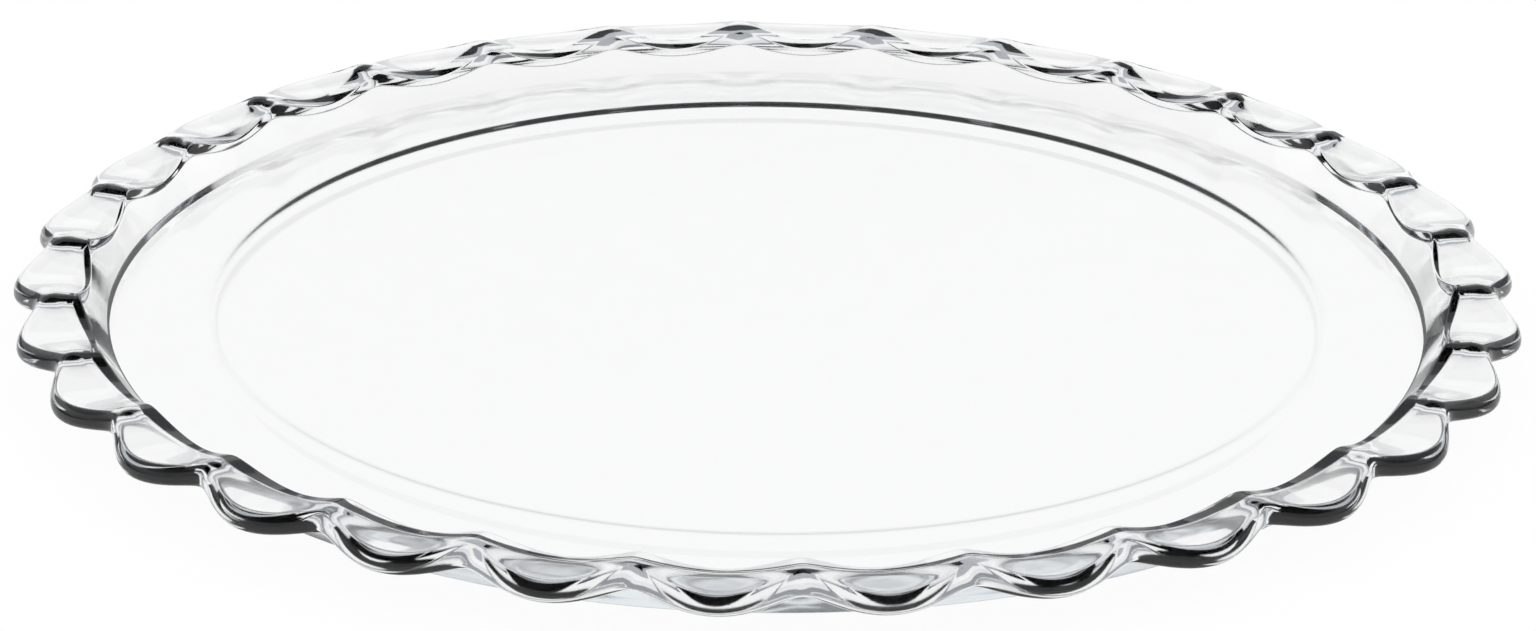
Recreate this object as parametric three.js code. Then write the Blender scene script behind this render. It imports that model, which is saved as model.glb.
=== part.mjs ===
// Round serving plate, pressed in one piece from clear glass.
// A flat well sits over a flat base, a sloping wall lifts the rim clear of the table,
// and the rim is a ring of scooped petals that meet in raised, arched ridges.
// Millimetres, +Z up, origin on the table under the middle of the plate.
import * as THREE from 'three';

// Outline and outer edge
const TIP_RADIUS = 161.8; // axis to the tip of a petal
const PETAL_WIDTH = 34; // along the circle of the tips
const NOTCH_DEPTH = 5; // how far the outline draws in between two petals
const TIP_THICKNESS = 4.3; // glass at the tip of a petal
const NOTCH_THICKNESS = 4; // glass at a notch

// Top of the rim, where a crown is the highest point of a ridge before it is rounded
const CROWN_HEIGHT = 15.4; // table to a crown
const CROWN_INSET = 3.8; // notch in to the crown of its ridge
const NOTCH_DROP = 0.9; // notch below the crowns
const TIP_DROP = 2.7; // tip of a petal below the crowns
const SCOOP_INSET = 12.8; // petal tip in to the inner end of its scoop
const SCOOP_DROP = 3.3; // that end below the crowns
const LIP_INSET = 16.2; // petal tip in to its inner lip
const LIP_DROP = 4.1; // inner lip of a petal below the crowns
const LIP_LEAN = 1.6; // how much further out the lip lies on a ridge
const LIP_RISE = 3.4; // and how much higher

// Underside, wall, floor and well
const KNEE_INSET = 14.6; // petal tip in to where the underside turns down below the rim
const KNEE_LEAN = 1.7; // how much further out that turn lies below a ridge
const FLANK_RUN = 5.7; // that turn in to the edge of the base
const WALL_RUN = 3.3; // inner lip in to the foot of the wall
const FLOOR_THICKNESS = 6.3; // glass under the well
const WELL_STEP = 0.45; // well below the ledge round it
const STEP_RUN = 2; // width of that gentle step
const LEDGE_WIDTH = 21.8; // foot of the wall in to the step

// Rounded edges
const BASE_ROUND = 2.3; // edge of the base
const KNEE_ROUND = 3; // turn of the underside
const LOW_EDGE_ROUND = 1.3; // outer edge, below
const TOP_EDGE_ROUND = 2.8; // outer edge, above
const CROWN_ROUND = 6; // arch of the ridges
const LIP_ROUND = 1; // inner lip
const FOOT_ROUND = 4.8; // foot of the wall, inside

// How softly two petals meet, where 0 is a sharp crease
const OUTLINE_SOFTNESS = 0.27;
const RIDGE_SOFTNESS = 0.18;

// Facets
const STEPS_PER_PETAL = 8;
const EDGE_STEPS = 3;
const ROUND_STEPS = 2;

// Share of a straight side that one rounded corner may use
const MOST_OF_SIDE = 0.48;
const LOW_OF_EDGE = 0.28;
const TOP_OF_EDGE = 0.68;

const PETALS = Math.round((2 * Math.PI * TIP_RADIUS) / PETAL_WIDTH);

const GLASS = new THREE.MeshStandardMaterial({
  color: 0xeef4f4,
  roughness: 0.03,
  metalness: 0,
  transparent: true,
  opacity: 0.35,
});

// 1 in the middle of a petal and 0 on the ridge between two petals.
function petalWave(angle, softness) {
  const swing = Math.hypot(Math.cos((PETALS * angle) / 2), softness);
  return (swing - softness) / (Math.hypot(1, softness) - softness);
}

// Corners of the section at one angle, from the base edge out round the rim and back in to the well.
function sectionCorners(angle) {
  const wave = petalWave(angle, RIDGE_SOFTNESS);
  const between = (onRidge, onPetal) => THREE.MathUtils.lerp(onRidge, onPetal, wave);
  const outline = TIP_RADIUS - NOTCH_DEPTH * (1 - petalWave(angle, OUTLINE_SOFTNESS));
  const edgeTop = CROWN_HEIGHT - between(NOTCH_DROP, TIP_DROP);
  const edgeLow = edgeTop - between(NOTCH_THICKNESS, TIP_THICKNESS);

  const crown = TIP_RADIUS - NOTCH_DEPTH - CROWN_INSET;
  const scoop = TIP_RADIUS - SCOOP_INSET;
  const lip = TIP_RADIUS - LIP_INSET;
  const lipHeight = CROWN_HEIGHT - LIP_DROP;
  const knee = TIP_RADIUS - KNEE_INSET;
  const ledge = FLOOR_THICKNESS + WELL_STEP;
  const wallFoot = lip - WALL_RUN;
  const stepTop = wallFoot - LEDGE_WIDTH;

  return [
    { r: knee - FLANK_RUN, z: 0, round: BASE_ROUND, steps: ROUND_STEPS, share: MOST_OF_SIDE },
    { r: between(knee + KNEE_LEAN, knee), z: edgeLow, round: KNEE_ROUND, steps: ROUND_STEPS, share: MOST_OF_SIDE },
    { r: outline, z: edgeLow, round: LOW_EDGE_ROUND, steps: EDGE_STEPS, share: LOW_OF_EDGE },
    { r: outline, z: edgeTop, round: TOP_EDGE_ROUND, steps: EDGE_STEPS, share: TOP_OF_EDGE },
    {
      r: between(crown, scoop),
      z: CROWN_HEIGHT - between(0, SCOOP_DROP),
      round: CROWN_ROUND,
      steps: ROUND_STEPS,
      share: MOST_OF_SIDE,
    },
    {
      r: between(lip + LIP_LEAN, lip),
      z: between(lipHeight + LIP_RISE, lipHeight),
      round: LIP_ROUND,
      steps: ROUND_STEPS,
      share: MOST_OF_SIDE,
    },
    { r: wallFoot, z: ledge, round: FOOT_ROUND, steps: ROUND_STEPS, share: MOST_OF_SIDE },
    { r: stepTop, z: ledge, steps: 0 },
    { r: stepTop - STEP_RUN, z: FLOOR_THICKNESS, steps: 0 },
  ];
}

// Points of the arc that rounds one corner, kept within its share of the two sides.
function roundedCorner(before, corner, after, { round, steps, share }) {
  if (steps === 0) return [corner];
  const back = before.clone().sub(corner);
  const ahead = after.clone().sub(corner);
  const half = back.angleTo(ahead) / 2;
  const room = share * Math.min(back.length(), ahead.length());
  const reach = Math.min(round / Math.tan(half), room);
  const start = back.clone().setLength(reach).add(corner);
  const toCentre = back.normalize().add(ahead.normalize()).setLength(reach / Math.cos(half));
  const centre = toCentre.add(corner);
  const turn = Math.sign(back.cross(ahead)) * (2 * half - Math.PI);
  return Array.from({ length: steps + 1 }, (_, k) => start.clone().rotateAround(centre, (turn * k) / steps));
}

// The rounded section at one angle, without its two ends on the axis.
function section(angle) {
  const corners = sectionCorners(angle);
  const points = corners.map(({ r, z }) => new THREE.Vector2(r, z));
  const path = [new THREE.Vector2(0, 0), ...points, new THREE.Vector2(0, FLOOR_THICKNESS)];
  return corners.flatMap((corner, i) => roundedCorner(path[i], path[i + 1], path[i + 2], corner));
}

// Closed surface through the sections at equal angles, with a fan over the base and one over the well.
function loftPlate() {
  const count = PETALS * STEPS_PER_PETAL;
  const sections = Array.from({ length: count }, (_, i) => section((2 * Math.PI * i) / count));
  const rings = sections[0].length;
  const positions = [0, 0, 0, 0, 0, FLOOR_THICKNESS];
  const triangles = [];
  sections.forEach((points, i) => {
    const angle = (2 * Math.PI * i) / count;
    points.forEach(({ x, y }) => positions.push(x * Math.cos(angle), x * Math.sin(angle), y));
    const here = 2 + i * rings;
    const next = 2 + ((i + 1) % count) * rings;
    triangles.push(0, next, here);
    for (let k = 0; k < rings - 1; k += 1) {
      triangles.push(here + k, next + k, next + k + 1);
      triangles.push(here + k, next + k + 1, here + k + 1);
    }
    triangles.push(1, here + rings - 1, next + rings - 1);
  });
  const geometry = new THREE.BufferGeometry();
  geometry.setAttribute('position', new THREE.Float32BufferAttribute(positions, 3));
  geometry.setIndex(triangles);
  geometry.computeVertexNormals();
  return geometry;
}

const plate = new THREE.Mesh(loftPlate(), GLASS);
plate.name = 'plate';

const servingPlate = new THREE.Group();
servingPlate.add(plate);

export default servingPlate;
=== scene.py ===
# Round serving plate of clear pressed glass on a white table, framed and lit as in the photo.
import math

import bpy
import numpy as np
from mathutils import Matrix, Vector


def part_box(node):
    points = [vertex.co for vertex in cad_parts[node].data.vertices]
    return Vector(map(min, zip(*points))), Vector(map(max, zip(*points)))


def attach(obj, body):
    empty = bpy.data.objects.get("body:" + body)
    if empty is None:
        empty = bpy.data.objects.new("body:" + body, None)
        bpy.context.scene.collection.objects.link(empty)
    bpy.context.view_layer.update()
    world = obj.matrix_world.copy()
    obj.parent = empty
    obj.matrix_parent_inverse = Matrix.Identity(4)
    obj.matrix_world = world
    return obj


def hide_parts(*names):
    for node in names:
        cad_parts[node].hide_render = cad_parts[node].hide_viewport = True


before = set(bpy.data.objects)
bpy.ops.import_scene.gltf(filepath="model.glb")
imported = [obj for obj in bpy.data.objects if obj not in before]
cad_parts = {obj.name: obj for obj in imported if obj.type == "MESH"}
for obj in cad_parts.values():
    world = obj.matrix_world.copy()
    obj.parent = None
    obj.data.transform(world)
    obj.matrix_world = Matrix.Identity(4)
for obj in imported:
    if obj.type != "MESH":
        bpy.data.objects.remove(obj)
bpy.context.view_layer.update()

MM = 0.001
PLATE_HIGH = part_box("plate")[1]

# Outline and outer edge, in millimetres
PETALS = 30
TIP_RADIUS = PLATE_HIGH.x / MM  # a petal's tip lies on +X
NOTCH_DEPTH = 5.0  # how far the outline draws in between two petals
TIP_THICKNESS = 4.3  # glass at the tip of a petal
NOTCH_THICKNESS = 4.0  # glass at a notch

# Top of the rim, where a crown is the highest point of a ridge before it is rounded
CROWN_HEIGHT = 15.4  # table to a crown
CROWN_INSET = 3.8  # notch in to the crown of its ridge
NOTCH_DROP = 0.9  # notch below the crowns
TIP_DROP = 2.7  # tip of a petal below the crowns
SCOOP_INSET = 12.8  # petal tip in to the inner end of its scoop
SCOOP_DROP = 3.3  # that end below the crowns
LIP_INSET = 16.2  # petal tip in to its inner lip
LIP_DROP = 4.1  # inner lip of a petal below the crowns
LIP_LEAN = 1.6  # how much further out the lip lies on a ridge
LIP_RISE = 3.4  # and how much higher

# Underside, wall, floor and well
KNEE_INSET = 14.6  # petal tip in to where the underside turns down below the rim
KNEE_LEAN = 1.7  # how much further out that turn lies below a ridge
FLANK_RUN = 5.7  # that turn in to the edge of the base
WALL_RUN = 4.1  # inner lip in to the foot of the wall
FLOOR_THICKNESS = 6.3  # glass under the well
WELL_STEP = 0.45  # well below the ledge round it
STEP_RUN = 2.0  # width of that gentle step
LEDGE_WIDTH = 21.0  # foot of the wall in to the step

# Rounded edges
BASE_ROUND = 0.6  # edge of the base
KNEE_ROUND = 0.8  # turn of the underside
LOW_EDGE_ROUND = 1.3  # outer edge, below
TOP_EDGE_ROUND = 2.8  # outer edge, above
CROWN_ROUND = 6.0  # arch of the ridges
LIP_ROUND = 1.0  # inner lip
FOOT_ROUND = 0.6  # foot of the wall, inside
STEP_ROUND = 8.0  # both corners of the step at the well

# Share of a straight side that one rounded corner may use
MOST_OF_SIDE = 0.48
LOW_OF_EDGE = 0.28
TOP_OF_EDGE = 0.68

# How softly two petals meet, where 0 is a sharp crease
OUTLINE_SOFTNESS = 0.27
RIDGE_SOFTNESS = 0.18

# Facets
STEPS_PER_PETAL = 24
ROUND_STEPS = 8  # over a rounded corner
SIDE_STEPS = 4  # between two rounded corners
DISC_STEPS = 8  # from the middle of a flat disc to its edge
DISC_CROWDING = 2.5  # how strongly the rings of a flat disc crowd to its edge

# Glass, with the scale of its noises to a metre
GLASS_IOR = 1.5
GLASS_TINT = (0.7, 0.88, 1.0, 1)  # what it lets through leans to blue-green
TINT_DENSITY = 1.0
RIPPLE_SCALE = 45.0
RIPPLE_DETAIL = 1.0
RIPPLE_STRENGTH = 0.02
RIPPLE_HEIGHT = 0.001
WEAR_SCALE = 90.0
WEAR_DETAIL = 4.0
WEAR_START = 0.45  # level of the noise where the polish starts to dull
WEAR_END = 0.8  # and where it is dullest
POLISHED_ROUGHNESS = 0.05
WORN_ROUGHNESS = 0.08

# Camera, fitted to the photo, with angles in degrees and lengths in metres
PHOTO_WIDTH, PHOTO_HEIGHT = 1536, 631
FOCAL_LENGTH = 5365  # in pixels of the photo
CENTRE_X, CENTRE_Y = 767.2, 266.6  # pixel that the lens looks straight at
SENSOR_WIDTH = 36.0  # in millimetres, as lenses are given
CAMERA_ELEVATION = 22.31
CAMERA_AZIMUTH = -2.772
CAMERA_ROLL = 0.712
CAMERA_DISTANCE = 1.157
CAMERA_TARGET = Vector((0.0, 0.0, 0.014))

# Table and light, in metres and degrees
FLOOR_SIZE = 12.0
FLOOR_DROP = 0.0002  # table below the base, so that their faces don't lie in one plane
FLOOR_GLOW = 0.95  # share of the table's white that shadows don't touch
WHITE = (1, 1, 1, 1)
BAND_EDGES = (0, 10, 20, 30, 45, 60)  # elevation where each band of the studio starts
BACK_BANDS = (0.25, 0.78, 0.93, 0.45, 0.0, 0.0)  # its brightness behind the plate
FRONT_BANDS = (0.7, 0.75, 0.6, 0.0, 0.0, 0.0)  # and on the camera's side
BAND_POWERS = (1.0, 0.95, 0.88)  # turn a brightness into red, green and blue, so that grey leans to blue
SIDE_BLEND = 0.35  # half width of the blend between back and front, where 1 is straight back
BOUNCES = 9
TRAPPED_BOUNCES = 3  # reflections, most of them inside the glass


def petal_wave(angle, softness):
    """1 in the middle of a petal and 0 on the ridge between two petals."""
    swing = np.hypot(np.cos(PETALS * angle / 2), softness)
    return (swing - softness) / (math.hypot(1, softness) - softness)


def section_corners(angle):
    """Corners of the section at every angle, from the base edge out round the rim and in to the well."""
    wave = petal_wave(angle, RIDGE_SOFTNESS)

    def between(on_ridge, on_petal):
        return on_ridge + (on_petal - on_ridge) * wave

    outline = TIP_RADIUS - NOTCH_DEPTH * (1 - petal_wave(angle, OUTLINE_SOFTNESS))
    edge_top = CROWN_HEIGHT - between(NOTCH_DROP, TIP_DROP)
    edge_low = edge_top - between(NOTCH_THICKNESS, TIP_THICKNESS)
    crown = TIP_RADIUS - NOTCH_DEPTH - CROWN_INSET
    scoop = TIP_RADIUS - SCOOP_INSET
    lip = TIP_RADIUS - LIP_INSET
    lip_height = CROWN_HEIGHT - LIP_DROP
    knee = TIP_RADIUS - KNEE_INSET
    ledge = FLOOR_THICKNESS + WELL_STEP
    wall_foot = lip - WALL_RUN
    step_top = wall_foot - LEDGE_WIDTH
    corners = (
        (knee - FLANK_RUN, 0, BASE_ROUND, MOST_OF_SIDE),
        (between(knee + KNEE_LEAN, knee), edge_low, KNEE_ROUND, MOST_OF_SIDE),
        (outline, edge_low, LOW_EDGE_ROUND, LOW_OF_EDGE),
        (outline, edge_top, TOP_EDGE_ROUND, TOP_OF_EDGE),
        (between(crown, scoop), CROWN_HEIGHT - between(0, SCOOP_DROP), CROWN_ROUND, MOST_OF_SIDE),
        (between(lip + LIP_LEAN, lip), between(lip_height + LIP_RISE, lip_height), LIP_ROUND, MOST_OF_SIDE),
        (wall_foot, ledge, FOOT_ROUND, MOST_OF_SIDE),
        (step_top, ledge, STEP_ROUND, MOST_OF_SIDE),
        (step_top - STEP_RUN, FLOOR_THICKNESS, STEP_ROUND, MOST_OF_SIDE),
    )
    return [(row_of(angle, r, z), radius, share) for r, z, radius, share in corners]


def row_of(angle, r, z):
    """One (radius, height) for every angle."""
    return np.stack(np.broadcast_arrays(r, z, angle)[:2], axis=1)


def rounded_corner(before, corner, after, radius, share):
    """Rows of the arc that rounds one corner at every angle, kept within its share of the two sides."""
    back, ahead = before - corner, after - corner
    back_length = np.linalg.norm(back, axis=1, keepdims=True)
    ahead_length = np.linalg.norm(ahead, axis=1, keepdims=True)
    back, ahead = back / back_length, ahead / ahead_length
    half = np.arccos(np.sum(back * ahead, axis=1, keepdims=True)) / 2
    reach = np.minimum(radius / np.tan(half), share * np.minimum(back_length, ahead_length))
    start = corner + back * reach
    end = corner + ahead * reach
    pull = np.sin(half)  # weight of the corner that makes the curve an arc
    rows = []
    for t in np.linspace(0, 1, ROUND_STEPS + 1):
        weights = ((1 - t) ** 2, 2 * pull * t * (1 - t), t ** 2)
        rows.append((weights[0] * start + weights[1] * corner + weights[2] * end) / sum(weights))
    return rows


def straight_rows(start, end):
    """Rows strictly between two rows, equally spaced."""
    return [start + (end - start) * k / SIDE_STEPS for k in range(1, SIDE_STEPS)]


def disc_rows(middle, edge):
    """Rows of a flat disc from near its middle to near its edge, crowded towards the edge."""
    shares = [1 - (1 - k / DISC_STEPS) ** DISC_CROWDING for k in range(1, DISC_STEPS)]
    return [middle + (edge - middle) * share for share in shares]


def section_rows(angle):
    """Rows of (radius, height) at every angle, from the middle of the base to the middle of the well."""
    corners = section_corners(angle)
    base_middle, well_middle = row_of(angle, 0, 0), row_of(angle, 0, FLOOR_THICKNESS)
    path = [base_middle] + [corner for corner, _, _ in corners] + [well_middle]
    rows = []
    for i, (corner, radius, share) in enumerate(corners):
        arc = rounded_corner(path[i], corner, path[i + 2], radius, share)
        rows += straight_rows(rows[-1], arc[0]) if rows else disc_rows(base_middle, arc[0])
        rows += arc
    return rows + disc_rows(well_middle, rows[-1])[::-1]


def ring_of(row, angle):
    """Points of one row, set round the axis."""
    radius, height = row[:, 0], row[:, 1]
    return np.stack([radius * np.cos(angle), radius * np.sin(angle), height], axis=1)


def loft_faces(rings, count):
    """Quads between neighbouring rings of count points, then a fan over the base and one over the well."""
    here = np.arange(count)
    after = (here + 1) % count
    faces = []
    for k in range(rings - 1):
        low, high = k * count, (k + 1) * count
        faces += np.stack([low + here, low + after, high + after, high + here], axis=1).tolist()
    last = (rings - 1) * count
    base, well = rings * count, rings * count + 1
    sides = list(zip(here.tolist(), after.tolist()))
    faces += [(base, b, a) for a, b in sides]
    faces += [(well, last + a, last + b) for a, b in sides]
    return faces


def add_object(name, data):
    """A new object in the scene."""
    made = bpy.data.objects.new(name, data)
    bpy.context.scene.collection.objects.link(made)
    return made


def build_plate():
    """The plate as one closed mesh, lofted through its sections."""
    count = PETALS * STEPS_PER_PETAL
    angle = 2 * math.pi * np.arange(count) / count
    rings = [ring_of(row, angle) for row in section_rows(angle)]
    middles = [[(0, 0, 0)], [(0, 0, FLOOR_THICKNESS)]]
    vertices = np.concatenate(rings + middles) * MM
    mesh = bpy.data.meshes.new("plate_glass")
    mesh.from_pydata(vertices.tolist(), [], loft_faces(len(rings), count))
    mesh.shade_smooth()
    return add_object("plate_glass", mesh)


def node_tree(owner):
    """An empty node tree on a material or world, and two helpers that add and join its nodes."""
    owner.use_nodes = True
    tree = owner.node_tree
    tree.nodes.clear()

    def add(kind, **sockets):
        node = tree.nodes.new(kind)
        for name, value in sockets.items():
            node.inputs[name.replace("_", " ")].default_value = value
        return node

    return add, tree.links.new


def glass_material():
    """Clear glass with a faint blue-green depth, the slight ripple of pressing and a few duller patches."""
    material = bpy.data.materials.new("clear pressed glass")
    add, join = node_tree(material)
    output = add("ShaderNodeOutputMaterial")
    glass = add("ShaderNodeBsdfPrincipled", Base_Color=WHITE, IOR=GLASS_IOR, Transmission_Weight=1.0)
    depth = add("ShaderNodeVolumeAbsorption", Color=GLASS_TINT, Density=TINT_DENSITY)
    place = add("ShaderNodeTexCoord")
    ripple = add("ShaderNodeTexNoise", Scale=RIPPLE_SCALE, Detail=RIPPLE_DETAIL)
    bump = add("ShaderNodeBump", Strength=RIPPLE_STRENGTH, Distance=RIPPLE_HEIGHT)
    wear = add("ShaderNodeTexNoise", Scale=WEAR_SCALE, Detail=WEAR_DETAIL)
    polish = add(
        "ShaderNodeMapRange",
        From_Min=WEAR_START,
        From_Max=WEAR_END,
        To_Min=POLISHED_ROUGHNESS,
        To_Max=WORN_ROUGHNESS,
    )
    join(place.outputs["Object"], ripple.inputs["Vector"])
    join(place.outputs["Object"], wear.inputs["Vector"])
    join(ripple.outputs["Fac"], bump.inputs["Height"])
    join(wear.outputs["Fac"], polish.inputs["Value"])
    join(polish.outputs["Result"], glass.inputs["Roughness"])
    join(bump.outputs["Normal"], glass.inputs["Normal"])
    join(glass.outputs["BSDF"], output.inputs["Surface"])
    join(depth.outputs["Volume"], output.inputs["Volume"])
    return material


def table_material():
    """White that glows evenly and still takes a soft shadow."""
    shade = 1 - FLOOR_GLOW
    material = bpy.data.materials.new("white table")
    add, join = node_tree(material)
    output = add("ShaderNodeOutputMaterial")
    both = add("ShaderNodeAddShader")
    glow = add("ShaderNodeEmission", Color=WHITE, Strength=FLOOR_GLOW)
    matt = add("ShaderNodeBsdfDiffuse", Color=(shade, shade, shade, 1))
    join(glow.outputs["Emission"], both.inputs[0])
    join(matt.outputs["BSDF"], both.inputs[1])
    join(both.outputs["Shader"], output.inputs["Surface"])
    return material


def build_floor():
    """Table top that reaches past the picture on all sides."""
    half = FLOOR_SIZE / 2
    corners = [(-half, -half, 0), (half, -half, 0), (half, half, 0), (-half, half, 0)]
    mesh = bpy.data.meshes.new("floor")
    mesh.from_pydata(corners, [], [(0, 1, 2, 3)])
    mesh.materials.append(table_material())
    floor = add_object("floor", mesh)
    floor.location.z = -FLOOR_DROP
    return floor


def fill_bands(node, brightnesses):
    """Steps of light and dark up a colour ramp that reads the height of a direction."""
    ramp = node.color_ramp
    ramp.interpolation = "CONSTANT"
    ramp.elements.remove(ramp.elements[1])
    for elevation, brightness in zip(BAND_EDGES, brightnesses):
        height = math.sin(math.radians(elevation))
        band = ramp.elements.new(height) if height else ramp.elements[0]
        band.color = (*(brightness ** power for power in BAND_POWERS), 1)


def studio_bands(add, join):
    """Colour of the studio in every direction, where its back and front blend at the sides."""
    place = add("ShaderNodeTexCoord")
    split = add("ShaderNodeSeparateXYZ")
    back = add("ShaderNodeValToRGB")
    front = add("ShaderNodeValToRGB")
    sides = add("ShaderNodeMapRange", From_Min=-SIDE_BLEND, From_Max=SIDE_BLEND)
    sides.interpolation_type = "SMOOTHSTEP"
    both = add("ShaderNodeMixRGB")
    fill_bands(back, BACK_BANDS)
    fill_bands(front, FRONT_BANDS)
    join(place.outputs["Generated"], split.inputs["Vector"])
    join(split.outputs["Z"], back.inputs["Fac"])
    join(split.outputs["Z"], front.inputs["Fac"])
    join(split.outputs["Y"], sides.inputs["Value"])
    join(sides.outputs["Result"], both.inputs["Fac"])
    join(front.outputs["Color"], both.inputs[1])
    join(back.outputs["Color"], both.inputs[2])
    return both.outputs["Color"]


def build_world():
    """White all round for the camera and the table, and bands of light and dark that the glass shows."""
    world = bpy.data.worlds.new("studio")
    bpy.context.scene.world = world
    add, join = node_tree(world)
    output = add("ShaderNodeOutputWorld")
    mix = add("ShaderNodeMixShader")
    white = add("ShaderNodeBackground", Color=WHITE, Strength=1.0)
    banded = add("ShaderNodeBackground", Strength=1.0)
    path = add("ShaderNodeLightPath")
    through = add("ShaderNodeMath")
    through.operation = "MAXIMUM"
    join(studio_bands(add, join), banded.inputs["Color"])
    join(path.outputs["Is Glossy Ray"], through.inputs[0])
    join(path.outputs["Is Transmission Ray"], through.inputs[1])
    join(through.outputs["Value"], mix.inputs["Fac"])
    join(white.outputs["Background"], mix.inputs[1])
    join(banded.outputs["Background"], mix.inputs[2])
    join(mix.outputs["Shader"], output.inputs["Surface"])


def build_camera():
    """Camera that sees the plate as the photo does."""
    elevation, azimuth = math.radians(CAMERA_ELEVATION), math.radians(CAMERA_AZIMUTH)
    away = Vector((
        math.sin(azimuth) * math.cos(elevation),
        -math.cos(azimuth) * math.cos(elevation),
        math.sin(elevation),
    ))
    lens = bpy.data.cameras.new("camera")
    lens.sensor_fit = "HORIZONTAL"
    lens.sensor_width = SENSOR_WIDTH
    lens.lens = FOCAL_LENGTH / PHOTO_WIDTH * SENSOR_WIDTH
    lens.shift_x = (PHOTO_WIDTH / 2 - CENTRE_X) / PHOTO_WIDTH
    lens.shift_y = (CENTRE_Y - PHOTO_HEIGHT / 2) / PHOTO_WIDTH
    camera = add_object("camera", lens)
    turn = away.to_track_quat("Z", "Y").to_matrix().to_4x4()
    roll = Matrix.Rotation(math.radians(CAMERA_ROLL), 4, "Z")
    camera.matrix_world = Matrix.Translation(CAMERA_TARGET + away * CAMERA_DISTANCE) @ turn @ roll
    bpy.context.scene.camera = camera


def limit_bounces():
    """Few bounces: light caught inside the rim ends dark, which draws the photo's crisp black lines."""
    cycles = bpy.context.scene.cycles
    cycles.max_bounces = BOUNCES
    cycles.transmission_bounces = BOUNCES
    cycles.glossy_bounces = TRAPPED_BOUNCES


plate = build_plate()
plate.data.materials.append(glass_material())
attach(plate, "root")
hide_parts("plate")
build_floor()
build_world()
build_camera()
limit_bounces()
bpy.context.scene.view_settings.view_transform = "Standard"
